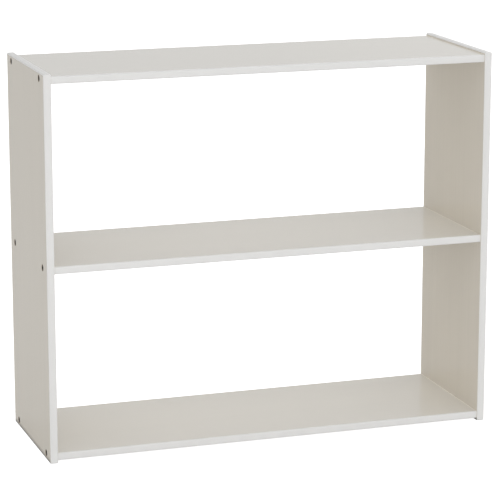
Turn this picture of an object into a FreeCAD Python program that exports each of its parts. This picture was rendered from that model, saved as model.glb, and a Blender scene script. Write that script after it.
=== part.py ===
import FreeCAD, Part
import os
from enum import IntEnum

import Sketcher

# Double-sided classroom shelf: two edge-banded side panels joined by three edge-banded shelves
# +X runs to the right, +Y to the rear and +Z up, from an origin on the floor under the middle

# Driving sizes in millimetres, one row of the spreadsheet each
SIZES = {
    "overall_width": 914.4,
    "overall_depth": 304.8,
    "overall_height": 762,
    "board_thickness": 15,
    "band_thickness": 3,
    "band_land": 0.5,
    "top_reveal": 5,
    "foot_reveal": 5,
    "edge_reveal": 4,
    "lower_opening": 355.6,
    "screw_inset": 37,
    "screw_length": 50,
    "screw_head": 10,
    "screw_shank": 5,
    "head_recess": 0.3,
    "socket_flats": 4,
    "socket_depth": 2,
    "end_relief": 0.5,
    "fit_clearance": 0.1,
}

# Side panels: the core board lies inside four bands
CORE_DEPTH = "(spec.overall_depth - 2 * spec.band_thickness)"
CORE_HEIGHT = "(spec.overall_height - 2 * spec.band_thickness)"
BAND_ROUNDING = "(spec.band_thickness - spec.band_land)"
PANEL_MIDDLE = "(spec.overall_width / 2 - spec.board_thickness / 2)"

# Shelves: they run between the side panels, set back from their front and rear edges
SHELF_LENGTH = "(spec.overall_width - 2 * spec.board_thickness)"
SHELF_CORE_DEPTH = "(spec.overall_depth - 2 * spec.edge_reveal - 2 * spec.band_thickness)"
BOTTOM_LEVEL = "(spec.foot_reveal + spec.board_thickness / 2)"
SHELF_LEVELS = {
    "bottom": BOTTOM_LEVEL,
    "middle": f"({BOTTOM_LEVEL} + spec.lower_opening + spec.board_thickness)",
    "top": "(spec.overall_height - spec.top_reveal - spec.board_thickness / 2)",
}

# Screws: a head sunk in the side panel, and a shank through it into the shelf end
SCREW_SPACING = "(spec.overall_depth - 2 * spec.screw_inset)"
SCREW_BORE = "(spec.screw_shank + 2 * spec.fit_clearance)"
SINK_DIAMETER = "(spec.screw_head + 2 * spec.head_recess + 2 * spec.fit_clearance)"
PILOT_DEPTH = "(spec.screw_length + spec.head_recess - spec.board_thickness + spec.end_relief)"
SINK_ANGLE = 90

LEFT, RIGHT = -1, 1
FRONT, REAR = -1, 1


class Axis(IntEnum):
    """Numbers by which a sketch knows its own axes."""
    HORIZONTAL = -1
    VERTICAL = -2


class Spot(IntEnum):
    """Numbers by which a sketch knows the points of a line or circle."""
    START = 1
    END = 2
    CENTRE = 3


ORIGIN_POINT = (Axis.HORIZONTAL, Spot.START)


def make_sheet(doc):
    """Fill the spreadsheet with a name and a value on each row, and the name as the value's alias."""
    sheet = doc.addObject("Spreadsheet::Sheet", "spec")
    for row, (alias, value) in enumerate(SIZES.items(), start=1):
        sheet.set(f"A{row}", alias)
        sheet.set(f"B{row}", str(value))
        sheet.setAlias(f"B{row}", alias)
    doc.recompute()


def place(item, x="0", y="0", z="0", axis=(1, 0, 0), angle=0):
    """Turn an object about one axis and bind its position to the sheet."""
    item.Placement = FreeCAD.Placement(FreeCAD.Vector(), FreeCAD.Rotation(FreeCAD.Vector(*axis), angle))
    for coordinate, expression in zip("xyz", (x, y, z)):
        item.setExpression(f"Placement.Base.{coordinate}", expression)


def origin_plane(body, role):
    """Find one of the body's own origin planes by its role."""
    return next(feature for feature in body.Origin.OriginFeatures if feature.Role == role)


def sketch_on(body, name, role, offset=None):
    """Make a sketch on one of the body's own origin planes, lifted off it by a bound distance."""
    sketch = body.newObject("Sketcher::SketchObject", name)
    sketch.AttachmentSupport = [(origin_plane(body, role), "")]
    sketch.MapMode = "FlatFace"
    if offset:
        sketch.setExpression("AttachmentOffset.Base.z", offset)
    return sketch


def measure(sketch, expression):
    """Give an expression's present value, so that geometry is drawn near its final place."""
    return float(sketch.evalExpression(expression))


def relate(sketch, kind, *references):
    """Add a geometric constraint to a sketch."""
    sketch.addConstraint(Sketcher.Constraint(kind, *references))


def dimension(sketch, kind, references, expression):
    """Add a dimension to a sketch and bind it to the sheet."""
    value = measure(sketch, expression)
    index = sketch.addConstraint(Sketcher.Constraint(kind, *references, value))
    sketch.setExpression(f"Constraints[{index}]", expression)


def draw_loop(sketch, corners):
    """Draw straight lines through the corners and join them into a closed loop."""
    points = [FreeCAD.Vector(across, up, 0) for across, up in corners]
    following = points[1:] + points[:1]
    lines = [sketch.addGeometry(Part.LineSegment(a, b)) for a, b in zip(points, following)]
    for line, after in zip(lines, lines[1:] + lines[:1]):
        relate(sketch, "Coincident", line, Spot.END, after, Spot.START)
    return lines


def rectangle(sketch, width, height, foot=None):
    """Draw a rectangle centred on the origin, or standing a given height above it."""
    half_width = measure(sketch, width) / 2
    tall = measure(sketch, height)
    low = measure(sketch, foot) if foot else -tall / 2
    corners = [(-half_width, low), (half_width, low), (half_width, low + tall), (-half_width, low + tall)]
    bottom, right, top, left = draw_loop(sketch, corners)
    relate(sketch, "Horizontal", top)
    for line in (left, right):
        relate(sketch, "Vertical", line)
    dimension(sketch, "DistanceX", (bottom, Spot.START, bottom, Spot.END), width)
    dimension(sketch, "DistanceY", (right, Spot.START, right, Spot.END), height)
    if foot:
        relate(sketch, "Symmetric", bottom, Spot.START, bottom, Spot.END, Axis.VERTICAL)
        dimension(sketch, "DistanceY", (*ORIGIN_POINT, bottom, Spot.START), foot)
    else:
        relate(sketch, "Horizontal", bottom)
        relate(sketch, "Symmetric", bottom, Spot.START, right, Spot.END, *ORIGIN_POINT)


def profile(sketch, corners):
    """Draw a closed outline whose corners are pairs of expressions, with "0" for a place on an axis."""
    lines = draw_loop(sketch, [[measure(sketch, value) for value in corner] for corner in corners])
    for line, (across, up) in zip(lines, corners):
        if (across, up) == ("0", "0"):
            relate(sketch, "Coincident", *ORIGIN_POINT, line, Spot.START)
            continue
        if across == "0":
            relate(sketch, "PointOnObject", line, Spot.START, Axis.VERTICAL)
        else:
            dimension(sketch, "DistanceX", (*ORIGIN_POINT, line, Spot.START), across)
        if up == "0":
            relate(sketch, "PointOnObject", line, Spot.START, Axis.HORIZONTAL)
        else:
            dimension(sketch, "DistanceY", (*ORIGIN_POINT, line, Spot.START), up)


def hexagon(sketch, flats):
    """Draw a regular hexagon about the origin, sized across its flats."""
    diameter = f"{flats} / cos(30 deg)"
    radius = measure(sketch, diameter) / 2
    corner = FreeCAD.Vector(radius, 0, 0)
    turns = [FreeCAD.Rotation(FreeCAD.Vector(0, 0, 1), 60 * step) for step in range(6)]
    lines = draw_loop(sketch, [turn.multVec(corner)[:2] for turn in turns])
    circle = sketch.addGeometry(Part.Circle(FreeCAD.Vector(), FreeCAD.Vector(0, 0, 1), radius), True)
    relate(sketch, "Coincident", circle, Spot.CENTRE, *ORIGIN_POINT)
    dimension(sketch, "Diameter", (circle,), diameter)
    for line in lines:
        relate(sketch, "PointOnObject", line, Spot.START, circle)
    for line in lines[1:]:
        relate(sketch, "Equal", lines[0], line)
    relate(sketch, "PointOnObject", lines[0], Spot.START, Axis.HORIZONTAL)


def hole_pair(sketch, level=None):
    """Draw two screw holes, one towards each edge, at a height above the origin or level with it."""
    reach = measure(sketch, SCREW_SPACING) / 2
    height = measure(sketch, level) if level else 0
    radius = measure(sketch, SCREW_BORE) / 2
    centres = [FreeCAD.Vector(edge * reach, height, 0) for edge in (FRONT, REAR)]
    circles = [Part.Circle(centre, FreeCAD.Vector(0, 0, 1), radius) for centre in centres]
    front, rear = [sketch.addGeometry(circle) for circle in circles]
    relate(sketch, "Equal", front, rear)
    relate(sketch, "Symmetric", front, Spot.CENTRE, rear, Spot.CENTRE, Axis.VERTICAL)
    dimension(sketch, "Diameter", (front,), SCREW_BORE)
    dimension(sketch, "DistanceX", (front, Spot.CENTRE, rear, Spot.CENTRE), SCREW_SPACING)
    if level:
        dimension(sketch, "DistanceY", (*ORIGIN_POINT, front, Spot.CENTRE), level)
    else:
        relate(sketch, "PointOnObject", front, Spot.CENTRE, Axis.HORIZONTAL)


def extrude(body, kind, sketch, length, reverse=False):
    """Pad or pocket a sketch by a bound length."""
    feature = body.newObject(f"PartDesign::{kind}", f"{sketch.Name}_{kind.lower()}")
    feature.Profile = sketch
    feature.Reversed = reverse
    feature.setExpression("Length", length)
    return feature


def side_board(doc, name, side):
    """Core board of a side panel, drawn on its outer face, with two screw holes at each shelf."""
    body = doc.addObject("PartDesign::Body", name)
    outline = sketch_on(body, "board_outline", "YZ_Plane")
    rectangle(outline, CORE_DEPTH, CORE_HEIGHT, foot="spec.band_thickness")
    extrude(body, "Pad", outline, "spec.board_thickness", reverse=side == RIGHT)
    screw_rows = sketch_on(body, "screw_rows", "YZ_Plane")
    for level in SHELF_LEVELS.values():
        hole_pair(screw_rows, level)
    doc.recompute()
    drill_screw_holes(body, screw_rows, reverse=side == LEFT)
    place(body, x=f"{side} * spec.overall_width / 2")
    return body


def drill_screw_holes(body, rows, reverse):
    """Drill the countersunk screw holes right through a side board."""
    hole = body.newObject("PartDesign::Hole", "screw_holes")
    hole.Profile = rows
    hole.DepthType = "ThroughAll"
    hole.HoleCutType = "Countersink"
    hole.HoleCutCountersinkAngle = SINK_ANGLE
    hole.Reversed = reverse
    hole.setExpression("Diameter", SCREW_BORE)
    hole.setExpression("HoleCutDiameter", SINK_DIAMETER)


def shelf_board(doc, name, level):
    """Core board of a shelf, with two screw holes in its right end mirrored to its left end."""
    body = doc.addObject("PartDesign::Body", name)
    section = sketch_on(body, "board_section", "YZ_Plane")
    rectangle(section, SHELF_CORE_DEPTH, "spec.board_thickness")
    board = extrude(body, "Pad", section, SHELF_LENGTH)
    board.SideType = "Symmetric"
    pilot_holes = sketch_on(body, "pilot_holes", "YZ_Plane", offset=f"{SHELF_LENGTH} / 2")
    hole_pair(pilot_holes)
    drilled = extrude(body, "Pocket", pilot_holes, PILOT_DEPTH)
    other_end = body.newObject("PartDesign::Mirrored", "other_end")
    other_end.Originals = [drilled]
    other_end.MirrorPlane = (origin_plane(body, "YZ_Plane"), [""])
    body.Tip = other_end
    place(body, z=level)
    return body


def edge_band(doc, name, across, along, rounded_ends):
    """Edge band lying on the origin plane with its outer face up, its outer edges rounded."""
    body = doc.addObject("PartDesign::Body", name)
    outline = sketch_on(body, "band_outline", "XY_Plane")
    rectangle(outline, across, along)
    strip = extrude(body, "Pad", outline, "spec.band_thickness")
    doc.recompute()
    whole = strip.Shape.BoundBox
    rounded = []
    for number, edge in enumerate(strip.Shape.Edges, start=1):
        on_inner_face = edge.BoundBox.ZMax < whole.Center.z
        runs_along = edge.Length > whole.DiagonalLength / 2
        if not on_inner_face and (runs_along or rounded_ends):
            rounded.append(number)
    rounding = body.newObject("PartDesign::Fillet", "rounding")
    rounding.Base = (strip, [f"Edge{number}" for number in rounded])
    rounding.setExpression("Radius", BAND_ROUNDING)
    return body


def panel_bands(doc, prefix, side):
    """Four bands round a side panel: front and rear run the full height, top and bottom fit between."""
    middle = f"{side} * {PANEL_MIDDLE}"
    pieces = []
    for edge, direction in (("front", FRONT), ("rear", REAR)):
        band = edge_band(doc, f"{prefix}_{edge}_band", "spec.board_thickness", "spec.overall_height", True)
        seat = f"{direction} * {CORE_DEPTH} / 2"
        place(band, middle, seat, "spec.overall_height / 2", angle=-90 * direction)
        pieces.append(band)
    top_seat = f"spec.band_thickness + {CORE_HEIGHT}"
    for edge, angle, seat in (("top", 0, top_seat), ("bottom", 180, "spec.band_thickness")):
        band = edge_band(doc, f"{prefix}_{edge}_band", "spec.board_thickness", CORE_DEPTH, False)
        place(band, middle, z=seat, angle=angle)
        pieces.append(band)
    return pieces


def shelf_bands(doc, prefix, level):
    """Front and rear band of a shelf, square at the ends where they meet the side panels."""
    pieces = []
    for edge, direction in (("front", FRONT), ("rear", REAR)):
        band = edge_band(doc, f"{prefix}_shelf_{edge}_band", SHELF_LENGTH, "spec.board_thickness", False)
        place(band, y=f"{direction} * {SHELF_CORE_DEPTH} / 2", z=level, angle=-90 * direction)
        pieces.append(band)
    return pieces


def screw(doc):
    """Countersunk screw along +X from the face of its head, with a hex socket."""
    body = doc.addObject("PartDesign::Body", "screw")
    half_section = sketch_on(body, "screw_half_section", "XY_Plane")
    profile(half_section, [
        ("0", "0"),
        ("0", "spec.screw_head / 2"),
        ("(spec.screw_head - spec.screw_shank) / 2", "spec.screw_shank / 2"),
        ("spec.screw_length", "spec.screw_shank / 2"),
        ("spec.screw_length", "0"),
    ])
    turned = body.newObject("PartDesign::Revolution", "screw_turned")
    turned.Profile = half_section
    turned.ReferenceAxis = (half_section, ["H_Axis"])
    turned.Angle = 360
    socket = sketch_on(body, "socket", "YZ_Plane")
    hexagon(socket, "spec.socket_flats")
    extrude(body, "Pocket", socket, "spec.socket_depth", reverse=True)
    return body


def screw_group(doc, name, pattern, side):
    """Six copies of the screw along one side panel, two at each shelf, with their heads sunk in the panel."""
    head_face = f"{side} * (spec.overall_width / 2 - spec.head_recess)"
    half_turn = 180 if side == RIGHT else 0
    copies = []
    for shelf, level in SHELF_LEVELS.items():
        for edge in (FRONT, REAR):
            copy = doc.addObject("App::Link", f"{name}_{shelf}")
            copy.LinkedObject = pattern
            row = f"{edge} * {SCREW_SPACING} / 2"
            place(copy, head_face, row, level, axis=(0, 0, 1), angle=half_turn)
            copies.append(copy)
    group = doc.addObject("Part::Compound", name)
    group.Links = copies
    return group


def check(doc, pieces):
    """Stop if any object failed or any piece has no valid shape."""
    failed = [item.Name for item in doc.Objects if {"Invalid", "Error"} & set(item.State)]
    broken = [piece.Label for piece in pieces if piece.Shape.isNull() or not piece.Shape.isValid()]
    if failed or broken:
        raise RuntimeError(f"failed objects {failed}, broken pieces {broken}")


def main():
    """Build the shelf and write one STEP file for each piece or group of screws."""
    doc = FreeCAD.newDocument("classroom_shelf")
    make_sheet(doc)
    pieces = []
    for prefix, side in (("left", LEFT), ("right", RIGHT)):
        pieces.append(side_board(doc, f"{prefix}_side_board", side))
        pieces += panel_bands(doc, prefix, side)
    for prefix, level in SHELF_LEVELS.items():
        pieces.append(shelf_board(doc, f"{prefix}_shelf_board", level))
        pieces += shelf_bands(doc, prefix, level)
    pattern = screw(doc)
    for prefix, side in (("left", LEFT), ("right", RIGHT)):
        pieces.append(screw_group(doc, f"{prefix}_screws", pattern, side))
    doc.recompute()
    check(doc, pieces)
    os.makedirs("parts", exist_ok=True)
    for piece in pieces:
        piece.Shape.exportStep(f"parts/{piece.Label}.step")


main()
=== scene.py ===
"""Looks of a double-sided classroom shelf, laid out as a Blender add-on and run as a script."""

import math

import bmesh
import bpy
import numpy as np
from bpy.props import FloatProperty, FloatVectorProperty, IntProperty, PointerProperty
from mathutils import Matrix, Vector


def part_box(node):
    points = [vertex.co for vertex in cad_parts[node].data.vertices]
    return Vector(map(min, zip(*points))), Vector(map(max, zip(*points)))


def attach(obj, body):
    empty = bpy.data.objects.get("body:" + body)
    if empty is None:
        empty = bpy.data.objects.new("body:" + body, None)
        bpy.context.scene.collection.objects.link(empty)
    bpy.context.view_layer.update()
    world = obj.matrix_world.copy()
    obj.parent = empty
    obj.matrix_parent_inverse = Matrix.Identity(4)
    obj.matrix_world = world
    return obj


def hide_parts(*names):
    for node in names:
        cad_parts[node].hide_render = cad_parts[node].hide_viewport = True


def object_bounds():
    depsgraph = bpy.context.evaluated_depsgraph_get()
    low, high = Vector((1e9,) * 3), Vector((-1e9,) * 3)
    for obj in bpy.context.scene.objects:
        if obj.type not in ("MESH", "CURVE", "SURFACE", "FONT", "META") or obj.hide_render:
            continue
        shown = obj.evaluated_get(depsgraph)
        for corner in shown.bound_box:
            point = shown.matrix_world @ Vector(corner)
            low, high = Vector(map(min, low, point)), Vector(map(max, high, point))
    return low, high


bl_info = {
    "name": "Double-sided classroom shelf",
    "version": (1, 0, 0),
    "blender": (4, 5, 0),
    "location": "3D View > Sidebar > Shelf",
    "description": "Finishes the boards, edge bands and screws of an open classroom shelf and sets up its studio",
    "category": "Object",
}

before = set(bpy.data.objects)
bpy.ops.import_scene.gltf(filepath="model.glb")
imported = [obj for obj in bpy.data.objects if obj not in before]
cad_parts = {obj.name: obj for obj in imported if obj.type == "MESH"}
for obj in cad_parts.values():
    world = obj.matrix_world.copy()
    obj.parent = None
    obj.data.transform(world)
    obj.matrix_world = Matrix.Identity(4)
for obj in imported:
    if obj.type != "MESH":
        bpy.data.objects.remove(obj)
CAD_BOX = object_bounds()

SHELF_BOARDS = ("top_shelf_board", "middle_shelf_board", "bottom_shelf_board")
ACROSS_X, ACROSS_Y, UPRIGHT = np.eye(3)

# Each band's width, length and outward directions, in that order and right-handed
PANEL_EDGES = {
    "front": (ACROSS_X, UPRIGHT, -ACROSS_Y),
    "rear": (-ACROSS_X, UPRIGHT, ACROSS_Y),
    "top": (ACROSS_X, ACROSS_Y, UPRIGHT),
    "bottom": (-ACROSS_X, ACROSS_Y, -UPRIGHT),
}
SHELF_EDGES = {
    "front": (-UPRIGHT, ACROSS_X, -ACROSS_Y),
    "rear": (UPRIGHT, ACROSS_X, ACROSS_Y),
}

# Features of the laminate's patterns per metre, along the grain and across it
DRIFT_SCALE = (0.8, 7.0)
PORE_SCALE = (14.0, 850.0)
# A grain streak's length in its own widths
STREAK_LENGTH = 60
# How far streaks, drift and pores darken the wood
STREAK_SHARE, DRIFT_SHARE, PORE_SHARE = 0.336, 0.304, 0.3
# Pressed chips per metre, and how much brightness the darkest of them keeps
CHIP_SCALE = 620.0
CHIP_SHADE = 0.45
CORE_ROUGHNESS = 0.8
# How far the painted shade at the floor darkens the side boards' laminate
FLOOR_SHADE_SHARE = 0.6

# Features of the bands' patterns per metre: scraper marks along and across a band, and haze
SCRAPER_SCALE = (14.0, 2600.0, 1.0)
HAZE_SCALE = 9.0
SCRAPER_DEPTH = 0.00002
# How far the haze covers the plastic, and how much brightness it keeps
HAZE_SHARE, HAZE_SHADE = 0.35, 0.95

# Features of the screws' patterns per metre: turning rings and stains
RING_SCALE = 9000.0
STAIN_SCALE = 420.0
RING_DEPTH = 0.00003
# How far the stains cover the steel, and how much brightness they keep
STAIN_SHARE, STAIN_SHADE = 0.6, 0.6
STEEL_ROUGHNESS = 0.45

# The bevel round a screw's head and socket, and its rings of points in one pitch and along the point
SCREW_BEVEL = 0.00015
RINGS_IN_PITCH = 8
RINGS_IN_POINT = 9
# The thread's height at its start, as a share of its full height
THREAD_START = 0.3

# Points closer than this are one, and edges that turn by more than this are sharp
SAME_POINT = 1e-7
SHARP_ANGLE = math.radians(35)

# Each soft light's place and side in metres
SOFTBOXES = {
    "front": ((-0.7, -2.95, 0.85), 1.6),
    "high_right": ((1.9, 0.0, 1.9), 1.4),
}
# Heights of a direction, as a share of straight up, where the walls' soft light and the ceiling begin
SOFT_LIGHT_FROM = (0.45, 0.55)
CEILING_FROM = (0.8, 0.9)
# Half the floor's side in metres, the two greys of its paint and its mottles per metre
FLOOR_REACH = 60.0
FLOOR_GREYS = (0.64, 0.66)
MOTTLE_SCALE = 3.0


class LaminateFinish(bpy.types.PropertyGroup):
    """Whitewashed wood-grain laminate on both faces of every board."""
    pale: FloatVectorProperty(
        name="Pale wood", description="Colour between the grain lines", subtype="COLOR",
        default=(0.758, 0.704, 0.612), min=0, max=1)
    dark: FloatVectorProperty(
        name="Grain line", description="Colour of the darkest grain lines", subtype="COLOR",
        default=(0.705, 0.655, 0.565), min=0, max=1)
    # Painted light: the shelves are lifted by a share towards this paler colour, standing in for light that makes
    # them look paler than the side boards of the same laminate
    painted_light: FloatVectorProperty(
        name="Whitewash", description="Colour that the shelves are washed with", subtype="COLOR",
        default=(0.94, 0.93, 0.897), min=0, max=1)
    painted_light_share: FloatProperty(
        name="Wash on shelves", description="How far the wash covers the wood of the shelves", subtype="FACTOR",
        default=0.52, min=0, max=1)
    gloss: FloatProperty(
        name="Roughness", description="Roughness of the satin lacquer", subtype="FACTOR",
        default=0.11, min=0, max=1)
    streak: FloatProperty(
        name="Streak width", description="Usual width of one grain streak", unit="LENGTH",
        default=0.007, min=0.001, max=0.1)
    pore: FloatProperty(
        name="Pore depth", description="Depth of the pressed wood pores", unit="LENGTH",
        default=0.00003, min=0, max=0.001, precision=5)
    core: FloatVectorProperty(
        name="Core", description="Colour of the pressed chips between the laminates", subtype="COLOR",
        default=(0.42, 0.28, 0.15), min=0, max=1)
    seal: FloatProperty(
        name="End seal", description="Width of the pale seal along each end of a shelf", unit="LENGTH",
        default=0.0032, min=0, max=0.02)
    seal_colour: FloatVectorProperty(
        name="Seal", description="Colour of the seal along the shelf ends", subtype="COLOR",
        default=(0.96, 0.93, 0.86), min=0, max=1)
    # Painted shade: the side boards' laminate darkens towards the floor, standing in for the shade where they meet
    # it
    floor_shade_height: FloatProperty(
        name="Scuff height", description="Height above the floor where a side board's scuffs end", unit="LENGTH",
        default=0.011, min=0.001, max=0.1)
    floor_shade_colour: FloatVectorProperty(
        name="Scuff", description="Colour of the scuffs near the floor", subtype="COLOR",
        default=(0.19, 0.165, 0.13), min=0, max=1)


class BandFinish(bpy.types.PropertyGroup):
    """White plastic bands glued round the boards."""
    colour: FloatVectorProperty(
        name="Band", description="Colour of the plastic", subtype="COLOR",
        default=(0.873, 0.868, 0.853), min=0, max=1)
    # Painted shade: the bands under the side panels are near black, standing in for the shade where they meet the
    # floor
    foot_shade: FloatVectorProperty(
        name="Foot", description="Colour of the scuffed bands under the side panels", subtype="COLOR",
        default=(0.05, 0.046, 0.04), min=0, max=1)
    glue: FloatVectorProperty(
        name="Glue", description="Colour of the glue line at the board", subtype="COLOR",
        default=(0.5, 0.46, 0.39), min=0, max=1)
    gloss: FloatProperty(
        name="Roughness", description="Roughness of the scraped and buffed plastic", subtype="FACTOR",
        default=0.34, min=0, max=1)
    rounding: FloatProperty(
        name="Rounding", description="Radius along the band's outer edges", unit="LENGTH",
        default=0.0025, min=0.0005, max=0.01)
    foot_rounding: FloatProperty(
        name="Foot rounding", description="Radius along the lower edges of the bands under the side panels",
        unit="LENGTH", default=0.0008, min=0.0002, max=0.01, precision=4)
    crown: FloatProperty(
        name="Crown", description="Lean of the band's slightly domed face beside its rounding", subtype="ANGLE",
        default=math.radians(5), min=math.radians(1), max=math.radians(15))
    glue_line: FloatProperty(
        name="Glue line", description="Width of the glue line that shows beside the board", unit="LENGTH",
        default=0.00025, min=0, max=0.001, precision=5)
    steps: IntProperty(
        name="Rounding steps", description="Faces across each rounded edge", default=10, min=2, max=32)


class ScrewShape(bpy.types.PropertyGroup):
    """Countersunk steel screws that hold the shelves, and their holes in the side boards."""
    steel: FloatVectorProperty(
        name="Steel", description="Colour of the blackened steel", subtype="COLOR",
        default=(0.022, 0.019, 0.016), min=0, max=1)
    worn: FloatVectorProperty(
        name="Worn steel", description="Colour of the bare steel in the socket", subtype="COLOR",
        default=(0.12, 0.115, 0.105), min=0, max=1)
    head: FloatProperty(
        name="Head", description="Diameter of the countersunk head", unit="LENGTH",
        default=0.0126, min=0.006, max=0.016)
    countersink: FloatProperty(
        name="Countersink", description="Diameter of a side board's countersink at its face", unit="LENGTH",
        default=0.0136, min=0.006, max=0.018)
    hole: FloatProperty(
        name="Hole", description="Diameter of the hole through a side board", unit="LENGTH",
        default=0.0052, min=0.002, max=0.01)
    shank: FloatProperty(
        name="Shank", description="Diameter over the thread", unit="LENGTH",
        default=0.005, min=0.002, max=0.01)
    root: FloatProperty(
        name="Root", description="Diameter at the bottom of the thread", unit="LENGTH",
        default=0.0034, min=0.001, max=0.01)
    pitch: FloatProperty(
        name="Pitch", description="Advance of the thread in one turn", unit="LENGTH",
        default=0.0024, min=0.001, max=0.01)
    plain: FloatProperty(
        name="Plain shank", description="Length from the head's face to the thread", unit="LENGTH",
        default=0.016, min=0.004, max=0.05)
    point: FloatProperty(
        name="Point", description="Length of the tapered point", unit="LENGTH",
        default=0.006, min=0.001, max=0.02)
    socket: FloatProperty(
        name="Socket", description="Width of the hex socket across its flats", unit="LENGTH",
        default=0.004, min=0.001, max=0.008)
    socket_depth: FloatProperty(
        name="Socket depth", description="Depth of the hex socket", unit="LENGTH",
        default=0.002, min=0.0005, max=0.005)
    inset: FloatProperty(
        name="Inset", description="From the panel's front or rear edge to a screw", unit="LENGTH",
        default=0.037, min=0.01, max=0.1)
    sides: IntProperty(
        name="Sides", description="Points round each screw", default=24, min=12, max=96)


class StudioSettings(bpy.types.PropertyGroup):
    """Pale floor, soft light and the photograph's viewpoint."""
    camera: FloatVectorProperty(
        name="Camera", description="Place of the camera", subtype="TRANSLATION", unit="LENGTH",
        default=(-1.489, -4.4324, 1.4359))
    azimuth: FloatProperty(
        name="Azimuth", description="Turn of the view from straight on", subtype="ANGLE",
        default=math.radians(-18.578))
    elevation: FloatProperty(
        name="Elevation", description="Tilt of the view below the horizon", subtype="ANGLE",
        default=math.radians(12.965))
    lens: FloatProperty(
        name="Lens", description="Focal length on the sensor's width in millimetres",
        default=170.84, min=10, max=400)
    sensor: FloatProperty(
        name="Sensor", description="Width of the sensor in millimetres", default=36, min=10, max=60)
    wall: FloatProperty(
        name="Wall", description="Brightness of the walls all round", default=0.64, min=0, max=5)
    overhead: FloatProperty(
        name="Overhead", description="Brightness of the soft light high on the walls", default=1.12, min=0, max=5)
    front: FloatProperty(
        name="Front", description="Power of the soft light in front", unit="POWER",
        default=14.5, min=0, max=2000)
    high_right: FloatProperty(
        name="High right", description="Power of the soft light above at the right", unit="POWER",
        default=10, min=0, max=2000)
    floor_light: FloatProperty(
        name="Floor light", description="Brightness of the lit floor's own glow", default=0.12, min=0, max=5)
    backdrop: FloatProperty(
        name="Backdrop", description="Brightness of the floor towards the camera", default=0.9, min=0, max=5)


class Value:
    """One shader value; arithmetic on it adds Math nodes to its tree."""

    def __init__(self, finish, socket):
        self.finish = finish
        self.socket = socket

    def math(self, operation, *values):
        """Add one Math node over the given values."""
        return self.finish.node("Math", {"operation": operation}, dict(enumerate(values)))

    def __add__(self, other):
        return self.math("ADD", self, other)

    def __radd__(self, other):
        return self.math("ADD", other, self)

    def __sub__(self, other):
        return self.math("SUBTRACT", self, other)

    def __rsub__(self, other):
        return self.math("SUBTRACT", other, self)

    def __mul__(self, other):
        return self.math("MULTIPLY", self, other)

    def __rmul__(self, other):
        return self.math("MULTIPLY", other, self)

    def __abs__(self):
        return self.math("ABSOLUTE", self)

    def ramp(self, low, high):
        """Rise smoothly from 0 at low to 1 at high."""
        return self.finish.node("MapRange", {"interpolation_type": "SMOOTHSTEP"},
                                {"Value": self, "From Min": low, "From Max": high})


class Finish:
    """A node tree under construction, for a material or for the studio's surroundings."""

    def __init__(self, owner):
        owner.use_nodes = True
        self.owner = owner
        self.tree = owner.node_tree
        self.tree.nodes.clear()

    def node(self, kind, settings=None, sockets=None, output=0):
        """Add a node of a type: its settings first, then the values or links of its sockets."""
        made = self.tree.nodes.new(f"ShaderNode{kind}")
        for name, setting in (settings or {}).items():
            setattr(made, name, setting)
        for name, value in (sockets or {}).items():
            if isinstance(value, Value):
                self.tree.links.new(value.socket, made.inputs[name])
            else:
                made.inputs[name].default_value = value
        outputs = made.outputs
        return Value(self, outputs[output]) if len(outputs) else made

    def mix(self, factor, first, second):
        """Blend two colours by a factor; the Mix node's colour sockets are its seventh and eighth."""
        return self.node("Mix", {"data_type": "RGBA"}, {0: factor, 6: first, 7: second}, output=2)

    def noise(self, place, scale=1.0, detail=2.0, roughness=0.5, distortion=0.0):
        """Smooth noise between 0 and 1 over a place, in features per unit of it."""
        return self.node("TexNoise", None, {"Vector": place, "Scale": scale, "Detail": detail,
                                            "Roughness": roughness, "Distortion": distortion})

    def place(self):
        """Object coordinates in metres."""
        return self.node("TexCoord", output="Object")

    def stretched(self, scale, place=None):
        """A place, or else the object coordinates, scaled differently along each axis."""
        return self.node("Mapping", None, {"Vector": place or self.place(), "Scale": scale})

    def attribute(self, name):
        """A number that the piece's mesh carries at each point."""
        return self.node("Attribute", {"attribute_name": name}, output="Fac")

    def relief(self, height, depth, strength=1.0):
        """A normal bent by a height between 0 and 1 times a depth in metres."""
        return self.node("Bump", None, {"Strength": strength, "Distance": depth, "Height": height})

    def surface(self, **sockets):
        """End the tree in a Principled surface."""
        named = {name.replace("_", " "): value for name, value in sockets.items()}
        shader = self.node("BsdfPrincipled", None, named)
        self.node("OutputMaterial", None, {"Surface": shader})
        return self.owner


def opaque(colour):
    """Add full opacity to a property's colour."""
    return (*colour, 1.0)


def grey(level):
    """An opaque grey."""
    return opaque([level] * 3)


def shaded(colour, share):
    """A colour that keeps a share of its brightness."""
    return opaque(share * Vector(colour))


def lightened(colour, settings, share):
    """A wood colour lifted by a share towards a paler one: painted light on the shelves."""
    return opaque(Vector(colour).lerp(Vector(settings.painted_light), share))


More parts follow.
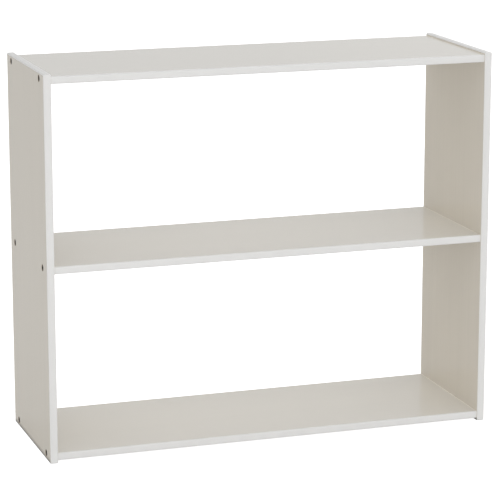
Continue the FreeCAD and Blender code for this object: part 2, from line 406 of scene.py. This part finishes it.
def laminate(name, settings, along, face, painted_light, sealed_at=None, floor_shaded=False):
    """Wood-grain laminate with its grain along one axis and pressed chips on all but two faces.

    Streaks, drift and pores are noise stretched along the grain; the chips show where the surface
    doesn't face along the board's thin axis. A share of painted light lifts the wood towards a paler
    colour. A board that is sealed at a distance from its middle has a pale line along both ends, just
    inside that distance. A floor-shaded board gets painted shade that darkens it towards the floor.
    """
    finish = Finish(bpy.data.materials.new(name))
    streak_scale = (1 / settings.streak / STREAK_LENGTH, 1 / settings.streak)
    drift = finish.noise(finish.stretched(np.where(along, *DRIFT_SCALE)))
    streaks = finish.noise(finish.stretched(np.where(along, *streak_scale)), detail=4, roughness=0.62,
                           distortion=0.4)
    pores = finish.noise(finish.stretched(np.where(along, *PORE_SCALE))).ramp(0.6, 0.74)
    depth = streaks.ramp(0.3, 0.75) * STREAK_SHARE + drift.ramp(0.3, 0.7) * DRIFT_SHARE + pores * PORE_SHARE
    # Painted light lifts the wood by its share towards a paler colour
    wood = finish.mix(depth, lightened(settings.pale, settings, painted_light), lightened(settings.dark, settings, painted_light))
    if sealed_at is not None:
        across = finish.node("SeparateXYZ", None, {"Vector": finish.place()}, "X")
        ends = abs(across).ramp(sealed_at - settings.seal, sealed_at - 0.9 * settings.seal)
        wood = finish.mix(ends, wood, opaque(settings.seal_colour))
    # Painted shade: the wood darkens towards the floor, standing in for the shade where the board meets it
    if floor_shaded:
        height = finish.node("SeparateXYZ", None, {"Vector": finish.place()}, "Z")
        foot_shade = 1 - height.ramp(0.2 * settings.floor_shade_height, settings.floor_shade_height)
        wood = finish.mix(foot_shade * FLOOR_SHADE_SHARE, wood, opaque(settings.floor_shade_colour))
    chips = finish.node("TexVoronoi", None, {"Vector": finish.place(), "Scale": CHIP_SCALE}, "Color")
    shade = finish.node("RGBToBW", None, {"Color": chips})
    core = finish.mix(shade * 0.8, opaque(settings.core), shaded(settings.core, CHIP_SHADE))
    normal = finish.node("NewGeometry", output="True Normal")
    facing = finish.node("VectorMath", {"operation": "DOT_PRODUCT"}, {0: normal, 1: tuple(face)}, "Value")
    faced = abs(facing).ramp(0.9, 0.99)
    roughness = CORE_ROUGHNESS - faced * (CORE_ROUGHNESS - settings.gloss) + pores * 0.12 + streaks * 0.03
    return finish.surface(Base_Color=finish.mix(faced, core, wood), Roughness=roughness,
                          Normal=finish.relief(1 - pores, settings.pore))


def band_plastic(name, settings, colour):
    """Coloured plastic with a glue line beside the board and faint scraper marks along the band."""
    finish = Finish(bpy.data.materials.new(name))
    run = finish.node("UVMap", {"uv_map": "run"})
    marks = finish.noise(finish.stretched(SCRAPER_SCALE, run), detail=3)
    haze = finish.noise(finish.place(), HAZE_SCALE, detail=3)
    seam = 1 - finish.attribute("rise").ramp(0.5 * settings.glue_line, settings.glue_line)
    soiled = finish.mix(haze.ramp(0.35, 0.8) * HAZE_SHARE, opaque(colour), shaded(colour, HAZE_SHADE))
    return finish.surface(Base_Color=finish.mix(seam, soiled, opaque(settings.glue)),
                          Roughness=marks * 0.08 + haze * 0.05 + (settings.gloss - 0.06),
                          Normal=finish.relief(marks, SCRAPER_DEPTH, 0.5))


def screw_steel(name, settings):
    """Blackened steel, turned in rings, and worn bare down in the socket."""
    finish = Finish(bpy.data.materials.new(name))
    sunk = finish.attribute("sunk")
    rings = finish.node("TexNoise", {"noise_dimensions": "1D"},
                        {"W": finish.attribute("ring"), "Scale": RING_SCALE, "Detail": 2.0})
    stain = finish.noise(finish.place(), STAIN_SCALE, detail=3)
    black = finish.mix(stain.ramp(0.35, 0.75) * STAIN_SHARE, opaque(settings.steel),
                       shaded(settings.steel, STAIN_SHADE))
    return finish.surface(Base_Color=finish.mix(sunk, black, opaque(settings.worn)), Metallic=sunk,
                          Roughness=stain * 0.15 + STEEL_ROUGHNESS, Specular_IOR_Level=0.2,
                          Normal=finish.relief(rings, RING_DEPTH, 0.4))


def new_piece(name, points, faces, material, numbers=None, run=None):
    """Make a riding piece from arrays, with merged doubles, outward faces and sharp corners."""
    mesh = bpy.data.meshes.new(name)
    mesh.from_pydata(points, [], faces)
    for key, values in (numbers or {}).items():
        mesh.attributes.new(key, "FLOAT", "POINT").data.foreach_set("value", values)
    if run is not None:
        corners = np.empty(len(mesh.loops), np.int32)
        mesh.loops.foreach_get("vertex_index", corners)
        mesh.uv_layers.new(name="run").data.foreach_set("uv", run[corners].ravel())
    solid = bmesh.new()
    solid.from_mesh(mesh)
    bmesh.ops.remove_doubles(solid, verts=solid.verts, dist=SAME_POINT)
    bmesh.ops.recalc_face_normals(solid, faces=solid.faces)
    solid.to_mesh(mesh)
    solid.free()
    mesh.polygons.foreach_set("use_smooth", np.ones(len(mesh.polygons), bool))
    mesh.set_sharp_from_angle(angle=SHARP_ANGLE)
    mesh.materials.append(material)
    piece = bpy.data.objects.new(name, mesh)
    bpy.context.scene.collection.objects.link(piece)
    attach(piece, "root")
    return piece


def grid_faces(rows, columns, copies=1):
    """Quads over grids of points numbered row by row, whose last column joins the first, copy after copy."""
    start = np.arange(copies)[:, None, None] * rows * columns
    row = start + np.arange(rows - 1)[:, None] * columns
    column = np.arange(columns)
    following = (column + 1) % columns
    corners = np.stack([row + column, row + following, row + columns + following, row + columns + column], -1)
    return corners.reshape(-1, 4).tolist()


def strip(width, length, thickness, radius, crown, steps, rounded_ends):
    """A strip with a domed face and rounded edges, as a closed section carried along its length.

    Each section point is a core point pushed outwards by the radius, along a direction that turns from one
    side to the other. Beside the sides the core point stands still, which gives the rounding; within the
    crown's angle of straight outwards it moves on an arc about the strip's middle, which gives the dome.
    Over a rounded end the station moves on by the radius times the sine of an angle, and the push shrinks
    by its cosine, down to the flat end.
    Gives the points as (width, length, outward), the run along and round the strip, and the faces.
    """
    side = width / 2 - radius
    dome = side / np.sin(crown)
    middle = thickness - radius - dome
    lean = np.concatenate([np.linspace(np.pi / 2, crown, steps + 1), np.linspace(crown, 0, steps // 2)[1:]])
    outward = np.stack([np.sin(lean), np.cos(lean)], -1)
    held = np.minimum(lean, crown)
    arc = np.stack([dome * np.sin(held), middle + dome * np.cos(held)], -1)
    right_core = np.vstack([[side, 0.0], arc])
    right_push = np.vstack([[1.0, 0.0], outward])
    core = np.vstack([right_core, right_core[-2::-1] * (-1, 1)])
    push = np.vstack([right_push, right_push[-2::-1] * (-1, 1)]) * radius
    if rounded_ends:
        turn = np.linspace(0, np.pi / 2, steps + 1)
        shrink = np.concatenate([np.cos(turn[::-1]), np.cos(turn)])
        reach = length / 2 - radius + radius * np.sin(turn)
    else:
        shrink = np.ones(2)
        reach = np.array([length / 2])
    along = np.concatenate([-reach[::-1], reach])
    section = core + shrink[:, None, None] * push
    rows, columns = section.shape[:2]
    stations = np.broadcast_to(along[:, None], (rows, columns))
    points = np.stack([section[..., 0], stations, section[..., 1]], -1).reshape(-1, 3)
    outline = core + push
    around = np.cumsum(np.linalg.norm(np.diff(outline, axis=0, prepend=outline[:1]), axis=1))
    run = np.stack([stations, np.broadcast_to(around, (rows, columns))], -1).reshape(-1, 2)
    caps = [list(range(columns)), list(range((rows - 1) * columns, rows * columns))]
    return points, run, grid_faces(rows, columns) + caps


def band(prefix, edge, directions, rounding, rounded_ends, material, settings):
    """Make one edge band over its CAD node's box, and let it stand for that node."""
    node = f"{prefix}_{edge}_band"
    low, high = np.array(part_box(node))
    axes = np.array(directions)
    width, length, thickness = np.abs(axes) @ (high - low)
    points, run, faces = strip(width, length, thickness, rounding, settings.crown, settings.steps, rounded_ends)
    seat = (low + high) / 2 - axes[2] * thickness / 2
    piece = new_piece(f"{prefix}_{edge}_edging", seat + points @ axes, faces, material,
                      numbers={"rise": points[:, 2]}, run=run)
    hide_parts(node)


def screw_places(shape):
    """Rows of screws from front to rear, and their levels from the bottom shelf to the top one."""
    reach = CAD_BOX[1][1] - shape.inset
    boxes = np.array([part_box(board) for board in SHELF_BOARDS])
    return np.array([-reach, reach]), np.sort(boxes[..., 2].mean(1))


def bored_board(prefix, side, material, shape):
    """A side board with countersunk holes, as one grid round each hole and a rim, in place of its CAD node.

    Cuts halfway between the holes divide the board into one cell for each hole. Round a hole the grid's
    columns are angles. Its rows go from the cell's corners on the inner face to the hole, through it, up the
    cone of its countersink and out to the corners on the outer face. In a corner row each angle has the
    corner of its own quarter.
    """
    node = f"{prefix}_side_board"
    low, high = np.array(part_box(node))
    inner, outer = (high[0], low[0]) if side < 0 else (low[0], high[0])
    cone = outer - side * (shape.countersink - shape.hole) / 2
    rows, levels = screw_places(shape)
    cuts_y = [low[1], *(rows[1:] + rows[:-1]) / 2, high[1]]
    cuts_z = [low[2], *(levels[1:] + levels[:-1]) / 2, high[2]]
    cuts = np.stack(np.meshgrid(cuts_y, cuts_z, indexing="ij"), -1)
    columns = 2 * shape.sides
    angle = (np.arange(columns) + 0.5) * 2 * np.pi / columns
    turn = np.stack([np.cos(angle), np.sin(angle)], -1)
    quarter = (turn > 0).astype(int)
    row, level = (index.reshape(-1, 1) for index in np.indices((len(rows), len(levels))))
    corner = cuts[row + quarter[:, 0], level + quarter[:, 1]]
    centre = np.stack([rows[row], levels[level]], -1)
    hole = centre + turn * shape.hole / 2
    sink = centre + turn * shape.countersink / 2
    rings = np.stack([corner, hole, hole, sink, corner], 1)
    planes = np.array([inner, inner, cone, outer, outer])[:, None, None]
    cells = np.concatenate([np.broadcast_to(planes, (*rings.shape[:3], 1)), rings], -1).reshape(-1, 3)
    outline = np.concatenate([cuts[:, 0], cuts[-1, 1:], cuts[-2::-1, -1], cuts[0, -2:0:-1]])
    rim = np.concatenate([np.insert(outline, 0, plane, axis=1) for plane in (inner, outer)])
    cell_faces = grid_faces(rings.shape[1], columns, copies=len(rings))
    rim_faces = (np.array(grid_faces(2, len(outline))) + len(cells)).tolist()
    piece = new_piece(f"{prefix}_laminated_board", np.concatenate([cells, rim]), cell_faces + rim_faces,
                      material)
    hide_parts(node)


def screw_surface(shape, length):
    """One screw along +X from its head's face, as rings of points round its axis.

    The rings run from the middle of the socket's floor up the socket, over the head, down the cone and
    along the shank to the point. In the socket a ring's radius is a hexagon's, which is the half width
    over the flats divided by the cosine of the angle from the nearest flat. Along the thread the radius
    is the root plus a ridge, which falls straight from 1 to 0 within a third of a pitch on either side of
    a line that climbs one pitch in each turn.
    Gives the points ring by ring, each point's distance from the axis, and whether it lies down in the socket.
    """
    head, shank, root, flat = shape.head / 2, shape.shank / 2, shape.root / 2, shape.socket / 2
    tip = length - shape.point
    socket = [(shape.socket_depth, 0.0), (shape.socket_depth, flat), (SCREW_BEVEL, flat),
              (0.0, flat + SCREW_BEVEL)]
    body = [(0.0, head - SCREW_BEVEL), (SCREW_BEVEL, head), (head - shank, shank),
            (shape.plain - shape.pitch, shank)]
    thread = np.arange(shape.plain, tip, shape.pitch / RINGS_IN_PITCH)
    taper = np.linspace(tip, length, RINGS_IN_POINT)
    upper = np.array(socket + body)
    place = np.concatenate([upper[:, 0], thread, taper])[:, None]
    radius = np.concatenate([upper[:, 1], np.full(len(thread), root),
                             root * np.linspace(1, 0, len(taper))])[:, None]
    ring = np.arange(len(place))[:, None]
    in_socket = ring < len(socket)
    sunk = ring < len(socket) - 1
    growth = np.interp(place, [shape.plain, shape.plain + shape.pitch, tip, length], [THREAD_START, 1.0, 1.0, 0.0])
    ridge = np.where(ring < len(upper), 0.0, growth * (shank - root))
    angle = np.linspace(0, 2 * np.pi, shape.sides, endpoint=False)
    from_flat = np.mod(angle, np.pi / 3) - np.pi / 6
    hexagon = np.where(in_socket, 1 / np.cos(from_flat), 1.0)
    climb = np.mod(place / shape.pitch - angle / (2 * np.pi) + 0.5, 1.0) - 0.5
    profile = radius * hexagon + ridge * np.clip(1 - 3 * np.abs(climb), 0, 1)
    points = np.stack([np.broadcast_to(place, profile.shape), profile * np.cos(angle),
                       profile * np.sin(angle)], -1)
    return points, profile, np.broadcast_to(sunk, profile.shape).astype(float)


def screw_row(prefix, side, material, shape):
    """Six screws in one side panel, two at each shelf, in place of that panel's CAD screws."""
    node = f"{prefix}_screws"
    low, high = np.array(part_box(node))
    start = low[0] if side < 0 else high[0]
    rows, levels = screw_places(shape)
    seats = np.array([(start, row, level) for level in levels for row in rows])
    one, ring, sunk = screw_surface(shape, high[0] - low[0])
    points = seats[:, None, None] + one * (-side, 1, 1)
    numbers = {"ring": np.tile(ring.ravel(), len(seats)), "sunk": np.tile(sunk.ravel(), len(seats))}
    faces = grid_faces(*ring.shape, copies=len(seats))
    piece = new_piece(f"{prefix}_countersunk_screws", points.reshape(-1, 3), faces, material,
                      numbers=numbers)
    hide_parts(node)


class SHELF_OT_side_boards(bpy.types.Operator):
    """Make the side boards, bored for their screws, with upright grain."""
    bl_idname = "shelf.side_boards"
    bl_label = "Side boards"

    def execute(self, context):
        settings = context.scene.shelf_laminate
        shape = context.scene.shelf_screws
        # The side boards get painted shade towards the floor and none of the shelves' painted light
        wood = laminate("upright_laminate", settings, UPRIGHT, ACROSS_X, painted_light=0.0, floor_shaded=True)
        bored_board("left", -1, wood, shape)
        bored_board("right", 1, wood, shape)
        return {"FINISHED"}


class SHELF_OT_shelf_boards(bpy.types.Operator):
    """Finish the shelf boards with grain along the shelf."""
    bl_idname = "shelf.shelf_boards"
    bl_label = "Shelf boards"

    def execute(self, context):
        settings = context.scene.shelf_laminate
        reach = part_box(SHELF_BOARDS[0])[1][0]
        # Painted light: the shelves' wood is lifted towards the paler colour
        wood = laminate("shelf_laminate", settings, ACROSS_X, UPRIGHT, settings.painted_light_share, sealed_at=reach)
        for node in SHELF_BOARDS:
            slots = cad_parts[node].data.materials
            slots.clear()
            slots.append(wood)
        return {"FINISHED"}


class SHELF_OT_panel_bands(bpy.types.Operator):
    """Make the four bands round each side panel."""
    bl_idname = "shelf.panel_bands"
    bl_label = "Side panel bands"

    def execute(self, context):
        settings = context.scene.shelf_bands
        white = band_plastic("panel_band_plastic", settings, settings.colour)
        # Painted shade: the bands under the side panels get the near-black colour of the shade at the floor
        floor_shaded = band_plastic("foot_band_plastic", settings, settings.foot_shade)
        for prefix in ("left", "right"):
            for edge, directions in PANEL_EDGES.items():
                full_height = edge in ("front", "rear")
                rounding, material = settings.rounding, white
                if edge == "bottom":
                    rounding, material = settings.foot_rounding, floor_shaded
                band(prefix, edge, directions, rounding, full_height, material, settings)
        return {"FINISHED"}


class SHELF_OT_shelf_bands(bpy.types.Operator):
    """Make the front and rear band of each shelf."""
    bl_idname = "shelf.shelf_bands"
    bl_label = "Shelf bands"

    def execute(self, context):
        settings = context.scene.shelf_bands
        material = band_plastic("shelf_band_plastic", settings, settings.colour)
        for prefix in ("top_shelf", "middle_shelf", "bottom_shelf"):
            for edge, directions in SHELF_EDGES.items():
                band(prefix, edge, directions, settings.rounding, False, material, settings)
        return {"FINISHED"}


class SHELF_OT_screws(bpy.types.Operator):
    """Make the countersunk screws in both side panels."""
    bl_idname = "shelf.screws"
    bl_label = "Screws"

    def execute(self, context):
        shape = context.scene.shelf_screws
        material = screw_steel("blackened_steel", shape)
        screw_row("left", -1, material, shape)
        screw_row("right", 1, material, shape)
        return {"FINISHED"}


class SHELF_OT_stage(bpy.types.Operator):
    """Set up the pale floor, the soft light and the camera."""
    bl_idname = "shelf.stage"
    bl_label = "Studio"

    def execute(self, context):
        settings = context.scene.shelf_studio
        self.floor(context, settings)
        self.surroundings(context, settings)
        self.softboxes(context, settings)
        self.camera(context, settings)
        context.scene.view_settings.view_transform = "Standard"
        return {"FINISHED"}

    def floor(self, context, settings):
        """A wide pale floor that the camera sees as a white backdrop."""
        corners = [(-FLOOR_REACH, -FLOOR_REACH, 0), (FLOOR_REACH, -FLOOR_REACH, 0),
                   (FLOOR_REACH, FLOOR_REACH, 0), (-FLOOR_REACH, FLOOR_REACH, 0)]
        mesh = bpy.data.meshes.new("studio_floor")
        mesh.from_pydata(corners, [], [(0, 1, 2, 3)])
        finish = Finish(bpy.data.materials.new("studio_floor_paint"))
        mottle = finish.noise(finish.place(), MOTTLE_SCALE, detail=3)
        seen = finish.node("LightPath", output="Is Camera Ray")
        glow = finish.mix(seen, grey(settings.floor_light), grey(settings.backdrop))
        finish.surface(Base_Color=finish.mix(mottle, *map(grey, FLOOR_GREYS)), Roughness=0.9,
                       Emission_Color=glow, Emission_Strength=1.0)
        mesh.materials.append(finish.owner)
        floor = bpy.data.objects.new("studio_floor", mesh)
        context.scene.collection.objects.link(floor)

    def surroundings(self, context, settings):
        """Pale walls with soft light high up all round, under a dark ceiling."""
        world = bpy.data.worlds.new("studio_surroundings")
        context.scene.world = world
        finish = Finish(world)
        direction = finish.node("TexCoord", output="Generated")
        height = finish.node("SeparateXYZ", None, {"Vector": direction}, "Z")
        rise = settings.wall + height.ramp(*SOFT_LIGHT_FROM) * (settings.overhead - settings.wall)
        level = rise * (1 - height.ramp(*CEILING_FROM))
        light = finish.node("Background", None, {"Color": grey(1.0), "Strength": level})
        finish.node("OutputWorld", None, {"Surface": light})

    def softboxes(self, context, settings):
        """Square soft lights turned to the middle of the shelf; the gloss mirrors the walls instead of them."""
        middle = (CAD_BOX[0] + CAD_BOX[1]) / 2
        for name, (place, size) in SOFTBOXES.items():
            lamp = bpy.data.lights.new(f"{name}_softbox", "AREA")
            lamp.energy = getattr(settings, name)
            lamp.size = size
            light = bpy.data.objects.new(f"{name}_softbox", lamp)
            light.location = place
            light.visible_glossy = False
            light.rotation_euler = (middle - light.location).to_track_quat("-Z", "Y").to_euler()
            context.scene.collection.objects.link(light)

    def camera(self, context, settings):
        """The photograph's viewpoint, with an upright picture and no shift."""
        lens = bpy.data.cameras.new("photograph")
        lens.sensor_width = settings.sensor
        lens.lens = settings.lens
        lens.clip_end = 200.0
        camera = bpy.data.objects.new("photograph", lens)
        camera.location = settings.camera
        camera.rotation_euler = (math.pi / 2 - settings.elevation, 0.0, settings.azimuth)
        context.scene.collection.objects.link(camera)
        context.scene.camera = camera


class SHELF_PT_builder(bpy.types.Panel):
    """Lists the shelf's pieces and their settings."""
    bl_idname = "SHELF_PT_builder"
    bl_label = "Classroom shelf"
    bl_space_type = "VIEW_3D"
    bl_region_type = "UI"
    bl_category = "Shelf"

    def draw(self, context):
        for operator, owner in STEPS:
            box = self.layout.box()
            box.operator(operator.bl_idname)
            settings = getattr(context.scene, owner)
            for name in settings.__annotations__:
                box.prop(settings, name)


SETTINGS = {
    "shelf_laminate": LaminateFinish,
    "shelf_bands": BandFinish,
    "shelf_screws": ScrewShape,
    "shelf_studio": StudioSettings,
}
STEPS = (
    (SHELF_OT_side_boards, "shelf_laminate"),
    (SHELF_OT_shelf_boards, "shelf_laminate"),
    (SHELF_OT_panel_bands, "shelf_bands"),
    (SHELF_OT_shelf_bands, "shelf_bands"),
    (SHELF_OT_screws, "shelf_screws"),
    (SHELF_OT_stage, "shelf_studio"),
)
CLASSES = (*SETTINGS.values(), *(operator for operator, _ in STEPS), SHELF_PT_builder)


def register():
    """Register the classes and hang their settings on the scene."""
    for entry in CLASSES:
        bpy.utils.register_class(entry)
    for name, group in SETTINGS.items():
        setattr(bpy.types.Scene, name, PointerProperty(type=group))


def unregister():
    """Take the settings off the scene and unregister the classes."""
    for name in SETTINGS:
        delattr(bpy.types.Scene, name)
    for entry in reversed(CLASSES):
        bpy.utils.unregister_class(entry)


def main():
    """Make every piece and the stage."""
    register()
    bpy.ops.shelf.side_boards()
    bpy.ops.shelf.shelf_boards()
    bpy.ops.shelf.panel_bands()
    bpy.ops.shelf.shelf_bands()
    bpy.ops.shelf.screws()
    bpy.ops.shelf.stage()


if __name__ == "__main__":
    main()
